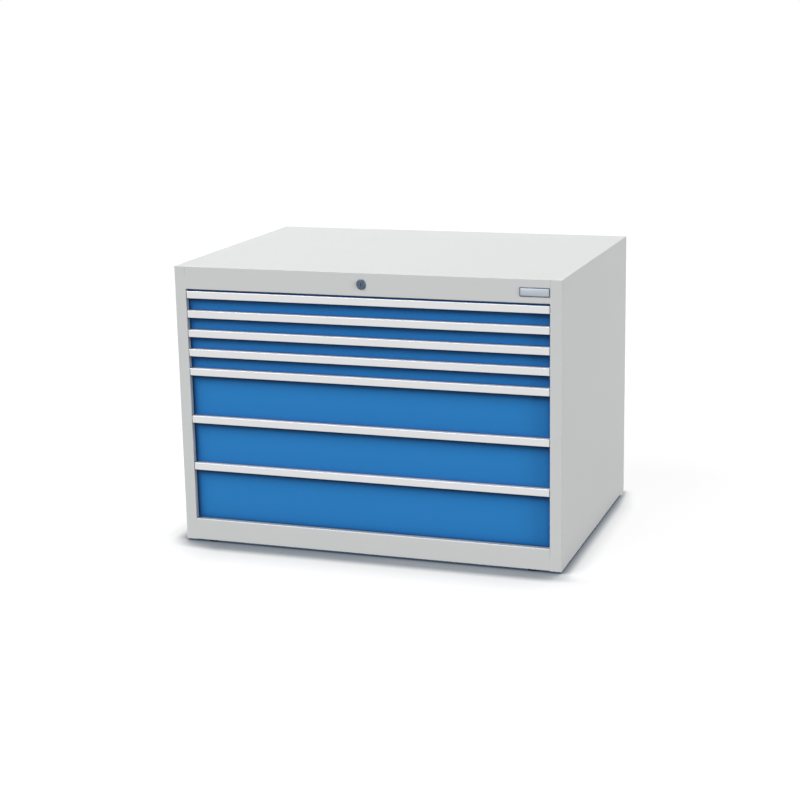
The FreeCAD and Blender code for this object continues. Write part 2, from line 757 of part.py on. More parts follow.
def lock_crank():
    """Plate on the shaft's end with an eccentric pin that lifts the locking bar."""
    body = new_body("lock_crank")
    plate = box("-crank_width / 2", "lock_level - crank_width / 2",
                "crank_width / 2", "lock_level + crank_width / 2")
    prism(body, "XZ_Plane", [plate], "crank_front", "crank_rear")
    discs(body, "XZ_Plane", [("crank_rise", "lock_level + crank_rise")],
          "crank_pin_radius", "crank_rear", "tooth_rear + guide_gap")
    return body


def shaft_bracket():
    """Angle under the top sheet that carries the shaft's rear end."""
    body = new_body("shaft_bracket")
    start = "tray_back - bracket_stand"
    section = [
        (start, "lock_level - bracket_drop"),
        (f"{start} + bracket_sheet", "lock_level - bracket_drop"),
        (f"{start} + bracket_sheet", "ceiling - bracket_sheet"),
        (f"{start} + bracket_foot", "ceiling - bracket_sheet"),
        (f"{start} + bracket_foot", "ceiling"),
        (start, "ceiling"),
    ]
    prism(body, "YZ_Plane", [section], "-bracket_width / 2", "bracket_width / 2")
    discs(body, "XZ_Plane", [("0", "lock_level")], "shaft_radius + fit_clearance",
          start, f"{start} + bracket_sheet", cut=True)
    return body


def tooth_low(level):
    """Underside of a drawer's unlocked tooth."""
    return f"{level} + tray_lift + catch_height + catch_sheet + tooth_lift"


def lock_bar(levels):
    """Upright bar with a slotted head and one welded tooth behind each drawer."""
    strip = new_body("bar_strip")
    plan = box("bar_offset", "bar_front", "bar_far", "tooth_front")
    prism(strip, "XY_Plane", [plan], f"{tooth_low(levels[-1])} - bar_tail",
          "lock_level + head_height / 2")
    head = new_body("bar_head")
    plate = box("0", "lock_level - head_height / 2",
                "bar_offset + tooth_overlap", "lock_level + head_height / 2")
    prism(head, "XZ_Plane", [plate], "tooth_front", "tooth_rear")
    slot = box("crank_rise - slot_half", "lock_level + crank_rise - slot_half",
               "crank_throw + slot_half", "lock_level + crank_rise + slot_half")
    prism(head, "XZ_Plane", [slot], "tooth_front", "tooth_rear", cut=True)
    pieces = [strip, head]
    for n, level in enumerate(levels, start=1):
        tooth = new_body(f"bar_tooth_{n}")
        shape = box("-tooth_reach", "tooth_front",
                    "bar_offset + tooth_overlap", "tooth_rear")
        prism(tooth, "XY_Plane", [shape], tooth_low(level),
              f"{tooth_low(level)} + tooth_height")
        pieces.append(tooth)
    return together("lock_bar", pieces)


def guide_strap(label, low):
    """Bent strap on the lock post that holds the bar from the front and both edges."""
    body = new_body(label)
    outer_right = "bar_far + guide_gap + post_sheet"
    outer_left = "bar_offset - guide_gap - post_sheet"
    foot_front = "post_front - post_sheet"
    guide_back = "guide_front - post_sheet"
    plan = [
        (outer_left, guide_back),
        (outer_right, guide_back),
        (outer_right, foot_front),
        (f"{outer_right} + guide_foot", foot_front),
        (f"{outer_right} + guide_foot", "post_front"),
        ("bar_far + guide_gap", "post_front"),
        ("bar_far + guide_gap", "guide_front"),
        ("bar_offset - guide_gap", "guide_front"),
        ("bar_offset - guide_gap", "tooth_front"),
        (outer_left, "tooth_front"),
    ]
    prism(body, "XY_Plane", [plan], low, f"{low} + guide_height")
    return body


def lock_post(levels):
    """Channel from floor to top beside the bar, with three guide straps."""
    post = new_body("post_channel")
    near, far = "post_near", "post_near + post_width"
    plan = [
        (near, "post_front"),
        (far, "post_front"),
        (far, "post_front + post_depth"),
        (f"{far} - post_sheet", "post_front + post_depth"),
        (f"{far} - post_sheet", "post_front + post_sheet"),
        (f"{near} + post_sheet", "post_front + post_sheet"),
        (f"{near} + post_sheet", "post_front + post_depth"),
        (near, "post_front + post_depth"),
    ]
    prism(post, "XY_Plane", [plan], "sill", "ceiling")
    pieces = [post]
    for name, tooth_level in (("upper", levels[0]), ("middle", levels[4]),
                              ("lower", levels[6])):
        low = f"{tooth_low(tooth_level)} + tooth_height + guide_gap"
        pieces.append(guide_strap(f"guide_{name}", low))
    return together("lock_post", pieces)


# ----------------------------------------------------------------- assembly


def drawer_levels():
    """Height of the bottom edge of each drawer's front, from the top drawer down."""
    levels = []
    top = "lintel - lid_gap"
    for pitch in PITCHES:
        levels.append(f"{top} - {pitch} + front_gap")
        top = f"{top} - {pitch}"
    return levels


def build():
    fill_sheet()
    levels = drawer_levels()
    side = side_panel()
    nodes = [side, mirrored(side, "side_panel_left"), top_panel(), floor_panel(),
             back_panel(), floor_glides()]
    nodes += uprights()
    nodes += slides(levels)
    nodes += drawers(levels)
    nodes += [lock_housing(), lock_nut(), lock_core(), lock_shaft(), lock_crank(),
              shaft_bracket(), lock_bar(levels), lock_post(levels)]
    DOC.recompute()
    return nodes


def check(nodes):
    """Stop at any failed object or unsound shape."""
    for thing in DOC.Objects:
        if {"Invalid", "Error"} & set(thing.State):
            raise RuntimeError(f"{thing.Label} failed: {thing.State}")
    for node in nodes:
        if node.Shape.isNull() or not node.Shape.isValid():
            raise RuntimeError(f"{node.Label} has no valid shape")


def export(nodes):
    os.makedirs("parts", exist_ok=True)
    for node in nodes:
        node.Shape.exportStep(os.path.join("parts", f"{node.Label}.step"))


NODES = build()
check(NODES)
export(NODES)
print(f"{len(NODES)} sub-parts")
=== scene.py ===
"""Looks of the steel drawer cabinet: finishes, small fittings, studio and camera.

Lengths are in metres; those of the object are written as millimetres times MM.  X runs
to the right, Y to the rear and Z up, so the fronts face -Y.
"""

import json
import math

import bpy
from mathutils import Matrix, Vector


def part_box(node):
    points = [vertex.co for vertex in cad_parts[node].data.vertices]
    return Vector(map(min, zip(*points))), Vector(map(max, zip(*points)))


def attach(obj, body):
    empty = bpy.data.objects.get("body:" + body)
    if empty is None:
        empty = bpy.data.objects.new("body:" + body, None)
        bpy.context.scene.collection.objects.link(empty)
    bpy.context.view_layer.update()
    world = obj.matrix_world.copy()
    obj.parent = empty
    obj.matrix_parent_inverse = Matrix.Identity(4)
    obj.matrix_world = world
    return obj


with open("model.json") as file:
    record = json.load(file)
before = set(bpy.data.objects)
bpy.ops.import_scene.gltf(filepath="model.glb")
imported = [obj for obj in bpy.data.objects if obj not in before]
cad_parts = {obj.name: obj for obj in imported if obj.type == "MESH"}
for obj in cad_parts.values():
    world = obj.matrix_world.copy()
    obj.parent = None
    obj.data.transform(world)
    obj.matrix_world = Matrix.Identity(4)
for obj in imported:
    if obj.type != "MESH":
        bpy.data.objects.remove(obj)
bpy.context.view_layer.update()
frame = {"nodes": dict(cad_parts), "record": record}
RECORD = frame["record"]
NODES = frame["nodes"]
DRAWERS = range(1, 8)
MM = 0.001
WHITE = (1.0, 1.0, 1.0, 1.0)

SLOT_OF_NODE = {part["node"]: part["material_slot"] for part in RECORD["subparts"]}

# Planes of the carcass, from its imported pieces.
FRONT_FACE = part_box("top_panel")[0][1]
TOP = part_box("top_panel")[1][2]
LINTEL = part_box("top_panel")[0][2]
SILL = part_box("floor_panel")[1][2]
LEFT_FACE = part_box("side_panel_left")[0][0]
REAR_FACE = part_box("side_panel_left")[1][1]


def deselect():
    bpy.ops.object.select_all(action="DESELECT")


def srgb(red, green, blue):
    """A colour written as 0-255 screen values, as the linear values that shaders read."""
    def linear(value):
        value /= 255
        return value / 12.92 if value <= 0.04045 else ((value + 0.055) / 1.055) ** 2.4
    return (linear(red), linear(green), linear(blue), 1.0)


# ------------------------------------------------------- shader node helpers


def add_node(tree, kind, inputs=None, **settings):
    """A shader node; inputs may be plain values or sockets to link from."""
    node = tree.nodes.new(kind)
    for name, value in settings.items():
        setattr(node, name, value)
    for name, value in (inputs or {}).items():
        if isinstance(value, bpy.types.NodeSocket):
            tree.links.new(value, node.inputs[name])
        else:
            node.inputs[name].default_value = value
    return node


def maths(tree, operation, first, second=0.0, clamp=False):
    """One step of arithmetic on values or sockets."""
    return add_node(tree, "ShaderNodeMath", {0: first, 1: second},
                    operation=operation, use_clamp=clamp).outputs[0]


def spread(tree, value, low, high, to_low, to_high):
    """Map a value's range to another, held at both ends."""
    return add_node(tree, "ShaderNodeMapRange", {
        "Value": value, "From Min": low, "From Max": high,
        "To Min": to_low, "To Max": to_high}).outputs["Result"]


def centred(tree, value, width):
    """A 0-1 value turned into a swing of a given width about zero."""
    return maths(tree, "MULTIPLY", maths(tree, "SUBTRACT", value, 0.5), width)


def noise(tree, place, scale, detail):
    """Smooth noise from 0 to 1, with scale in cycles to the unit of place."""
    return add_node(tree, "ShaderNodeTexNoise",
                    {"Vector": place, "Scale": scale, "Detail": detail}).outputs["Fac"]


def object_place(tree):
    """The point on the object, in metres."""
    return add_node(tree, "ShaderNodeTexCoord").outputs["Object"]


def mix_values(tree, share, first, second):
    """The first value at share 0, the second at share 1."""
    return add_node(tree, "ShaderNodeMix", {0: share, 2: first, 3: second}).outputs[0]


def blend_colours(tree, mask, first, second, blend_type="MIX"):
    """The first colour where the mask is 0, the second, or their blend, where it is 1."""
    node = add_node(tree, "ShaderNodeMix", data_type="RGBA", blend_type=blend_type)
    for socket, value in (("Factor_Float", mask), ("A_Color", first), ("B_Color", second)):
        target = next(s for s in node.inputs if s.identifier == socket)
        if isinstance(value, bpy.types.NodeSocket):
            tree.links.new(value, target)
        else:
            target.default_value = value
    return next(s for s in node.outputs if s.identifier == "Result_Color")


def new_group(name, inputs, outputs):
    """An empty node group: inputs as (name, kind, default), outputs as (name, kind)."""
    tree = bpy.data.node_groups.new(name, "ShaderNodeTree")
    for label, kind, default in inputs:
        socket = tree.interface.new_socket(label, in_out="INPUT", socket_type=kind)
        socket.default_value = default
    for label, kind in outputs:
        tree.interface.new_socket(label, in_out="OUTPUT", socket_type=kind)
    start = tree.nodes.new("NodeGroupInput")
    end = tree.nodes.new("NodeGroupOutput")
    return tree, start.outputs, end.inputs


def use_group(tree, group, inputs):
    """Place a node group in a tree and set or link its inputs."""
    node = tree.nodes.new("ShaderNodeGroup")
    node.node_tree = group
    for name, value in inputs.items():
        if isinstance(value, bpy.types.NodeSocket):
            tree.links.new(value, node.inputs[name])
        else:
            node.inputs[name].default_value = value
    return node.outputs


# ----------------------------------------------------- effects as node groups

# Each scale is in cycles to the metre; the tones, the height and the roughnesses say
# how strongly an effect shows.
CLOUD_SCALE = 4.0
PEEL_SCALE = 420.0
SPECK_SCALE = 2600.0
SPECK_TONE = 0.05
SPECK_HEIGHT = 0.25
CLOUD_ROUGHNESS = 0.12

# Cosines between the rounded and the true normal where rubbing starts and is full,
# and the range of the patch noise over which it goes from its least to all.
RUB_START = 0.98
RUB_FULL = 0.75
RUB_PATCH_SCALE = 60.0
RUB_PATCH_RANGE = (0.45, 0.62)
RUB_LEAST = 0.15

# Rise over the sill in which the painted shade of the recess mask fades in.
FOOT_RISE = 20 * MM

HANDLING_SCALE = 14.0
HANDLING_ROUGHNESS = 0.16
LINE_ROUGHNESS = 0.12

CRYSTAL_SCALE = 160.0
CAST_SCALE = 9.0
CAST_RANGE = (0.35, 0.65)
CRYSTAL_TONE = 0.06
CRYSTAL_ROUGHNESS = 0.14
BLUISH_ZINC = srgb(222, 226, 233)
YELLOWISH_ZINC = srgb(232, 230, 220)


def powder_coat_group():
    """Baked powder paint: faint cloudiness and the fine orange peel of its skin."""
    tree, given, out = new_group(
        "powder_coat",
        [("Colour", "NodeSocketColor", (0.6, 0.6, 0.6, 1)),
         ("Cloud", "NodeSocketFloat", 0.02),
         ("Roughness", "NodeSocketFloat", 0.4)],
        [("Colour", "NodeSocketColor"), ("Roughness", "NodeSocketFloat"),
         ("Height", "NodeSocketFloat")])
    place = object_place(tree)
    cloud = noise(tree, place, CLOUD_SCALE, 3.0)
    peel = noise(tree, place, PEEL_SCALE, 2.0)
    speck = noise(tree, place, SPECK_SCALE, 1.0)
    drift = centred(tree, cloud, given["Cloud"])
    grain = centred(tree, speck, SPECK_TONE)
    value = maths(tree, "ADD", maths(tree, "ADD", drift, grain), 1.0)
    shade = add_node(tree, "ShaderNodeHueSaturation",
                     {"Color": given["Colour"], "Value": value})
    tree.links.new(shade.outputs["Color"], out["Colour"])
    rough = centred(tree, cloud, CLOUD_ROUGHNESS)
    tree.links.new(maths(tree, "ADD", rough, given["Roughness"]), out["Roughness"])
    height = maths(tree, "ADD", peel, maths(tree, "MULTIPLY", speck, SPECK_HEIGHT))
    tree.links.new(height, out["Height"])
    return tree


def soft_edge_group():
    """Rounded edges in the shading, and a mask of the rubbed edges."""
    tree, given, out = new_group(
        "soft_edge",
        [("Radius", "NodeSocketFloat", 0.001)],
        [("Normal", "NodeSocketVector"), ("Mask", "NodeSocketFloat")])
    bevel = add_node(tree, "ShaderNodeBevel", {"Radius": given["Radius"]}, samples=6)
    true_normal = add_node(tree, "ShaderNodeNewGeometry").outputs["True Normal"]
    dot = add_node(tree, "ShaderNodeVectorMath",
                   {0: bevel.outputs["Normal"], 1: true_normal}, operation="DOT_PRODUCT")
    edge = spread(tree, dot.outputs["Value"], RUB_START, RUB_FULL, 0.0, 1.0)
    patch = noise(tree, object_place(tree), RUB_PATCH_SCALE, 4.0)
    worn = spread(tree, patch, *RUB_PATCH_RANGE, RUB_LEAST, 1.0)
    tree.links.new(bevel.outputs["Normal"], out["Normal"])
    tree.links.new(maths(tree, "MULTIPLY", edge, worn), out["Mask"])
    return tree


def painted_shade_group():
    """Painted shade: a mask, from how deep a surface lies in a corner or under a ledge,
    that
    darkens the paint there: 0 in the open, 1 from the closeness Full on.  It fades out
    below the sill, because the foot is close to what the cabinet stands on."""
    tree, given, out = new_group(
        "recess",
        [("Reach", "NodeSocketFloat", 0.04), ("Start", "NodeSocketFloat", 0.0),
         ("Full", "NodeSocketFloat", 0.5)],
        [("Mask", "NodeSocketFloat")])
    near = add_node(tree, "ShaderNodeAmbientOcclusion", {"Distance": given["Reach"]},
                    samples=8)
    closed = maths(tree, "SUBTRACT", 1.0, near.outputs["AO"])
    height = add_node(tree, "ShaderNodeSeparateXYZ",
                      {"Vector": object_place(tree)}).outputs["Z"]
    raised = spread(tree, height, SILL - FOOT_RISE, SILL, 0.0, 1.0)
    # The closer the surface lies, the more painted shade it gets.
    deep = spread(tree, closed, given["Start"], given["Full"], 0.0, 1.0)
    tree.links.new(maths(tree, "MULTIPLY", deep, raised), out["Mask"])
    return tree


def drawn_metal_group():
    """Long fine lines left by drawing or brushing, along the stretch's smallest axis."""
    tree, given, out = new_group(
        "drawn_metal",
        [("Stretch", "NodeSocketVector", (4, 900, 900)),
         ("Roughness", "NodeSocketFloat", 0.35),
         ("Tone", "NodeSocketFloat", 0.1)],
        [("Value", "NodeSocketFloat"), ("Roughness", "NodeSocketFloat"),
         ("Height", "NodeSocketFloat")])
    place = object_place(tree)
    drawn = add_node(tree, "ShaderNodeVectorMath",
                     {0: place, 1: given["Stretch"]}, operation="MULTIPLY").outputs[0]
    line = noise(tree, drawn, 1.0, 3.0)
    handling = noise(tree, place, HANDLING_SCALE, 4.0)
    swing = centred(tree, line, given["Tone"])
    tree.links.new(maths(tree, "ADD", swing, 1.0), out["Value"])
    smear = centred(tree, handling, HANDLING_ROUGHNESS)
    streak = centred(tree, line, LINE_ROUGHNESS)
    rough = maths(tree, "ADD", maths(tree, "ADD", smear, streak), given["Roughness"])
    tree.links.new(rough, out["Roughness"])
    tree.links.new(line, out["Height"])
    return tree


def zinc_group():
    """Bright zinc plating: small crystals and a faint yellow-blue cast."""
    tree, given, out = new_group(
        "zinc_plating",
        [("Colour", "NodeSocketColor", (0.5, 0.5, 0.5, 1)),
         ("Roughness", "NodeSocketFloat", 0.35)],
        [("Colour", "NodeSocketColor"), ("Roughness", "NodeSocketFloat"),
         ("Height", "NodeSocketFloat")])
    place = object_place(tree)
    crystal = add_node(tree, "ShaderNodeTexVoronoi",
                       {"Vector": place, "Scale": CRYSTAL_SCALE})
    flake = add_node(tree, "ShaderNodeSeparateColor",
                     {"Color": crystal.outputs["Color"]}).outputs["Red"]
    cast = spread(tree, noise(tree, place, CAST_SCALE, 3.0), *CAST_RANGE, 0.0, 1.0)
    tint = blend_colours(tree, cast, BLUISH_ZINC, YELLOWISH_ZINC)
    tinted = blend_colours(tree, 1.0, given["Colour"], tint, blend_type="MULTIPLY")
    value = spread(tree, flake, 0.0, 1.0, 1.0 - CRYSTAL_TONE, 1.0 + CRYSTAL_TONE)
    shade = add_node(tree, "ShaderNodeHueSaturation", {"Color": tinted, "Value": value})
    tree.links.new(shade.outputs["Color"], out["Colour"])
    rough = centred(tree, flake, CRYSTAL_ROUGHNESS)
    tree.links.new(maths(tree, "ADD", rough, given["Roughness"]), out["Roughness"])
    tree.links.new(flake, out["Height"])
    return tree


POWDER_COAT = powder_coat_group()
SOFT_EDGE = soft_edge_group()
# Painted shade in corners and under ledges, as a mask.
PAINTED_SHADE = painted_shade_group()
DRAWN_METAL = drawn_metal_group()
ZINC = zinc_group()


# ------------------------------------------------------------------ materials


def new_material(name, **shader_values):
    """A material with its Principled shader's plain values set on the shader."""
    material = bpy.data.materials.new(name)
    material.use_nodes = True
    tree = material.node_tree
    shader = tree.nodes["Principled BSDF"]
    for socket, value in shader_values.items():
        shader.inputs[socket.replace("_", " ")].default_value = value
    return material, tree, shader


PAINT_SHEEN = 0.25
PAINT_RUB = 0.35
RUBBED_ZINC = srgb(225, 227, 230)
# Reach of the painted shade in recesses.
PAINTED_SHADE_REACH = 50 * MM

# Closeness at which the painted shade in recesses starts, and at which it is full.
FOLD_PAINTED_SHADE = (0.10, 0.42)
PANEL_PAINTED_SHADE = (0.0, 0.38)


def add_relief(tree, shader, height, normal, strength, distance):
    """Bump a shader's normal by a height."""
    bump = add_node(tree, "ShaderNodeBump", {
        "Height": height, "Normal": normal, "Strength": strength, "Distance": distance})
    tree.links.new(bump.outputs["Normal"], shader.inputs["Normal"])


def painted(name, colour, worn_colour, painted_shade_colour, painted_shade_range, roughness, cloud):
    """Powder-coated sheet with slightly rubbed edges, and painted shade that darkens it in
    its recesses.
    """
    material, tree, shader = new_material(name, IOR=1.5, Specular_IOR_Level=PAINT_SHEEN)
    coat = use_group(tree, POWDER_COAT,
                     {"Colour": colour, "Cloud": cloud, "Roughness": roughness})
    edge = use_group(tree, SOFT_EDGE, {"Radius": 0.6 * MM})
    rubbed = maths(tree, "MULTIPLY", edge["Mask"], PAINT_RUB)
    worn = blend_colours(tree, rubbed, coat["Colour"], worn_colour)
    # The recess mask blends in the colour of painted shade where the sheet lies in a corner
    # or under a ledge.
    start, full = painted_shade_range
    recess = use_group(tree, PAINTED_SHADE, {"Reach": PAINTED_SHADE_REACH, "Start": start, "Full": full})
    shown = blend_colours(tree, recess["Mask"], worn, painted_shade_colour)
    tree.links.new(shown, shader.inputs["Base Color"])
    tree.links.new(coat["Roughness"], shader.inputs["Roughness"])
    add_relief(tree, shader, coat["Height"], edge["Normal"],
               strength=0.10, distance=0.05 * MM)
    return material


def anodised(name, colour):
    """Satin anodised extrusion, drawn along X."""
    material, tree, shader = new_material(name, Metallic=0.55, IOR=1.6)
    metal = use_group(tree, DRAWN_METAL, {
        "Stretch": (3.0, 900.0, 900.0), "Roughness": 0.42, "Tone": 0.05})
    edge = use_group(tree, SOFT_EDGE, {"Radius": 0.5 * MM})
    shade = add_node(tree, "ShaderNodeHueSaturation",
                     {"Color": colour, "Value": metal["Value"]})
    tree.links.new(shade.outputs["Color"], shader.inputs["Base Color"])
    tree.links.new(metal["Roughness"], shader.inputs["Roughness"])
    add_relief(tree, shader, metal["Height"], edge["Normal"],
               strength=0.12, distance=0.02 * MM)
    return material


def zinc_plated(name, colour, roughness):
    """Zinc-plated steel, brighter on its edges."""
    material, tree, shader = new_material(name, Metallic=1.0)
    plating = use_group(tree, ZINC, {"Colour": colour, "Roughness": roughness})
    edge = use_group(tree, SOFT_EDGE, {"Radius": 0.4 * MM})
    bright = blend_colours(tree, edge["Mask"], plating["Colour"], RUBBED_ZINC)
    tree.links.new(bright, shader.inputs["Base Color"])
    tree.links.new(plating["Roughness"], shader.inputs["Roughness"])
    add_relief(tree, shader, plating["Height"], edge["Normal"],
               strength=0.06, distance=0.03 * MM)
    return material


def turned_nickel(name, colour, bright_colour):
    """Satin nickel of the lock, brighter where keys and fingers rub."""
    material, tree, shader = new_material(name, Metallic=1.0)
    metal = use_group(tree, DRAWN_METAL, {
        "Stretch": (700.0, 40.0, 700.0), "Roughness": 0.32, "Tone": 0.18})
    edge = use_group(tree, SOFT_EDGE, {"Radius": 0.35 * MM})
    shade = add_node(tree, "ShaderNodeHueSaturation",
                     {"Color": colour, "Value": metal["Value"]})
    rubbed = blend_colours(tree, edge["Mask"], shade.outputs["Color"], bright_colour)
    tree.links.new(rubbed, shader.inputs["Base Color"])
    tree.links.new(metal["Roughness"], shader.inputs["Roughness"])
    tree.links.new(edge["Normal"], shader.inputs["Normal"])
    return material


def moulded(name, colour, roughness):
    """Moulded plastic with a fine eroded skin."""
    material, tree, shader = new_material(name, IOR=1.46)
    skin = use_group(tree, POWDER_COAT,
                     {"Colour": colour, "Cloud": 0.06, "Roughness": roughness})
    edge = use_group(tree, SOFT_EDGE, {"Radius": 0.5 * MM})
    tree.links.new(skin["Colour"], shader.inputs["Base Color"])
    tree.links.new(skin["Roughness"], shader.inputs["Roughness"])
    add_relief(tree, shader, skin["Height"], edge["Normal"],
               strength=0.25, distance=0.05 * MM)
    return material


# The deep colour of each paint is painted shade, shown in its corners and under ledges.
MATERIALS = {
    "carcass_paint": painted(
        "light_grey_powder", srgb(207, 209, 209), worn_colour=srgb(214, 216, 217),
        painted_shade_colour=srgb(120, 130, 142), painted_shade_range=FOLD_PAINTED_SHADE,
        roughness=0.46, cloud=0.02),
    "front_paint": painted(
        "blue_powder", srgb(38, 122, 189), worn_colour=srgb(60, 138, 202),
        painted_shade_colour=srgb(8, 84, 148), painted_shade_range=PANEL_PAINTED_SHADE,
        roughness=0.42, cloud=0.03),
    "tray_paint": painted(
        "tray_grey_powder", srgb(201, 204, 206), worn_colour=srgb(214, 216, 218),
        painted_shade_colour=srgb(178, 183, 188), painted_shade_range=FOLD_PAINTED_SHADE,
        roughness=0.48, cloud=0.03),
    "grip_aluminium": anodised("anodised_aluminium", srgb(219, 219, 220)),
    "zinc_steel": zinc_plated("zinc_steel", srgb(205, 208, 212), roughness=0.36),
    "lock_nickel": turned_nickel("satin_nickel", srgb(86, 99, 114),
                                 bright_colour=srgb(146, 154, 164)),
    "roller_plastic": moulded("roller_plastic", srgb(226, 225, 216), roughness=0.38),
    "glide_plastic": moulded("glide_plastic", srgb(34, 35, 37), roughness=0.5),
}
PLATE_FACE = anodised("plate_face", srgb(180, 187, 196))
SCREW_STEEL = zinc_plated("screw_steel", srgb(176, 180, 186), roughness=0.28)


def dress_cad_nodes():
    """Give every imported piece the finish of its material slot."""
    for name, node in NODES.items():
        for slot in node.material_slots:
            slot.material = MATERIALS[SLOT_OF_NODE[name]]


# ------------------------------------------------------------- modelling tools

# The least share of a face's normal that counts as facing a way.
FACING = 0.9


def start_box(name, low, high):
    """A box between two corners, ready to be shaped."""
    deselect()
    centre = [(a + b) / 2 for a, b in zip(low, high)]
    bpy.ops.mesh.primitive_cube_add(size=1.0, location=centre)
    piece = bpy.context.object
    piece.name = name
    piece.scale = [b - a for a, b in zip(low, high)]
    settle(piece)
    return piece


def start_head(name, radius, height, sides):
    """A short cylinder standing on X = 0 and pointing along +X, ready to be shaped."""
    deselect()
    turn = Vector((0, 0, 1)).rotation_difference(Vector((1, 0, 0))).to_euler()
    bpy.ops.mesh.primitive_cylinder_add(vertices=sides, radius=radius, depth=height,
                                        location=(height / 2, 0, 0), rotation=turn)
    piece = bpy.context.object
    piece.name = name
    settle(piece)
    return piece


def settle(piece):
    """Put the object at the origin with its place in its mesh."""
    deselect()
    piece.select_set(True)
    bpy.context.view_layer.objects.active = piece
    bpy.ops.object.transform_apply(location=True, rotation=True, scale=True)


def select_faces(piece, wanted):
    """In edit mode, select the faces that a test on centre and normal picks."""
    bpy.context.view_layer.objects.active = piece
    bpy.ops.object.mode_set(mode="EDIT")
    bpy.ops.mesh.select_mode(type="FACE")
    bpy.ops.mesh.select_all(action="DESELECT")
    bpy.ops.object.mode_set(mode="OBJECT")
    for face in piece.data.polygons:
        face.select = wanted(face.center, face.normal)
    bpy.ops.object.mode_set(mode="EDIT")


def faces_front(centre, normal):
    return normal.y < -FACING


def faces_along_x(centre, normal):
    return normal.x > FACING


def step_in(piece, wanted, inset, move):
    """Inset the picked faces and move the new faces along a vector."""
    select_faces(piece, wanted)
    bpy.ops.mesh.inset(thickness=inset, depth=0)
    bpy.ops.mesh.extrude_region_move(TRANSFORM_OT_translate={"value": move})
    bpy.ops.object.mode_set(mode="OBJECT")


def apply_modifier(piece, modifier):
    """Work a modifier into the piece's mesh."""
    deselect()
    piece.select_set(True)
    bpy.context.view_layer.objects.active = piece
    bpy.ops.object.modifier_apply(modifier=modifier.name)


def round_edges(piece, width, angle=40):
    """Bevel the edges sharper than an angle in degrees and smooth the shading."""
    modifier = piece.modifiers.new("edges", "BEVEL")
    modifier.width = width
    modifier.segments = 2
    modifier.limit_method = "ANGLE"
    modifier.angle_limit = math.radians(angle)
    apply_modifier(piece, modifier)
    bpy.ops.object.shade_smooth_by_angle(angle=math.radians(angle))


def hand_over(piece, body, material):
    """Give a finished piece its finish and the body that it moves with."""
    piece.data.materials.clear()
    piece.data.materials.append(material)
    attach(piece, body)


def copy_to(source, name, matrix):
    """A copy of a finished piece with a mesh of its own, placed by a matrix."""
    piece = source.copy()
    piece.data = source.data.copy()
    piece.name = name
    bpy.context.collection.objects.link(piece)
    piece.data.transform(matrix)
    return piece


def join(pieces, name):
    """Make one object of several."""
    deselect()
    for piece in pieces:
        piece.select_set(True)
    bpy.context.view_layer.objects.active = pieces[0]
    bpy.ops.object.join()
    joined = bpy.context.object
    joined.name = name
    return joined


def remove(piece):
    """Delete an object together with its mesh."""
    mesh = piece.data
    bpy.data.objects.remove(piece)
    bpy.data.meshes.remove(mesh)


# ------------------------------------------------------------------ name plate

PLATE_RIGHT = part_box("side_panel_right")[0][0] - 0.5 * MM
PLATE_WIDTH = 73.5 * MM
PLATE_HEIGHT = 21 * MM
PLATE_DROP = 30.8 * MM
PLATE_PROUD = 1.4 * MM
PLATE_RIM = 1.5 * MM
PLATE_DISH = 0.8 * MM
PLATE_ROUND = 0.3 * MM
FACE_PROUD = 0.9 * MM
FACE_BACK = 0.3 * MM
FACE_BORDER = 1.2 * MM
FACE_RISE = 0.15 * MM
FACE_ROUND = 0.12 * MM


def name_plate():
    """A bare plate: a dark raised rim round a pale anodised face."""
    middle = TOP - PLATE_DROP
    low = (PLATE_RIGHT - PLATE_WIDTH, FRONT_FACE - PLATE_PROUD, middle - PLATE_HEIGHT / 2)
    high = (PLATE_RIGHT, FRONT_FACE, middle + PLATE_HEIGHT / 2)
    rim = start_box("name_plate_rim", low, high)
    step_in(rim, faces_front, PLATE_RIM, (0, PLATE_DISH, 0))
    round_edges(rim, PLATE_ROUND)
    hand_over(rim, "carcass", MATERIALS["lock_nickel"])
    inner_low = (low[0] + PLATE_RIM, FRONT_FACE - FACE_PROUD, low[2] + PLATE_RIM)
    inner_high = (high[0] - PLATE_RIM, FRONT_FACE - FACE_BACK, high[2] - PLATE_RIM)
    face = start_box("name_plate_face", inner_low, inner_high)
    step_in(face, faces_front, FACE_BORDER, (0, -FACE_RISE, 0))
    round_edges(face, FACE_ROUND)
    hand_over(face, "carcass", PLATE_FACE)


# -------------------------------------------------------------------- dust lip

LIP_SETBACK = 5 * MM
LIP_SHEET = 1.2 * MM
LIP_FOOT = 6 * MM
LIP_CLEARANCE = 1.2 * MM
LIP_ROUND = 0.4 * MM


def dust_lip():
    """A folded lip on the first drawer that closes most of the gap under the rail."""
    low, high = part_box("drawer_1_grip")
    near, base = low[1] + LIP_SETBACK, high[2]
    lip = start_box("drawer_1_dust_lip", (low[0], near, base),
                    (high[0], near + LIP_FOOT, base + LIP_SHEET))
    crease = near + LIP_SHEET
    select_faces(lip, lambda centre, normal: True)
    bpy.ops.mesh.bisect(plane_co=(0, crease, 0), plane_no=(0, 1, 0))
    bpy.ops.object.mode_set(mode="OBJECT")
    select_faces(lip, lambda centre, normal: normal.z > FACING and centre.y < crease)
    rise = LINTEL - LIP_CLEARANCE - base - LIP_SHEET
    bpy.ops.mesh.extrude_region_move(TRANSFORM_OT_translate={"value": (0, 0, rise)})
    bpy.ops.object.mode_set(mode="OBJECT")
    round_edges(lip, LIP_ROUND)
    hand_over(lip, "drawer_1", MATERIALS["front_paint"])


# ------------------------------------------------------------------ seam welds

FOLD_RADIUS = 2 * MM
WELD_OVERLAP = 0.1 * MM
WELD_SINK = 0.03 * MM


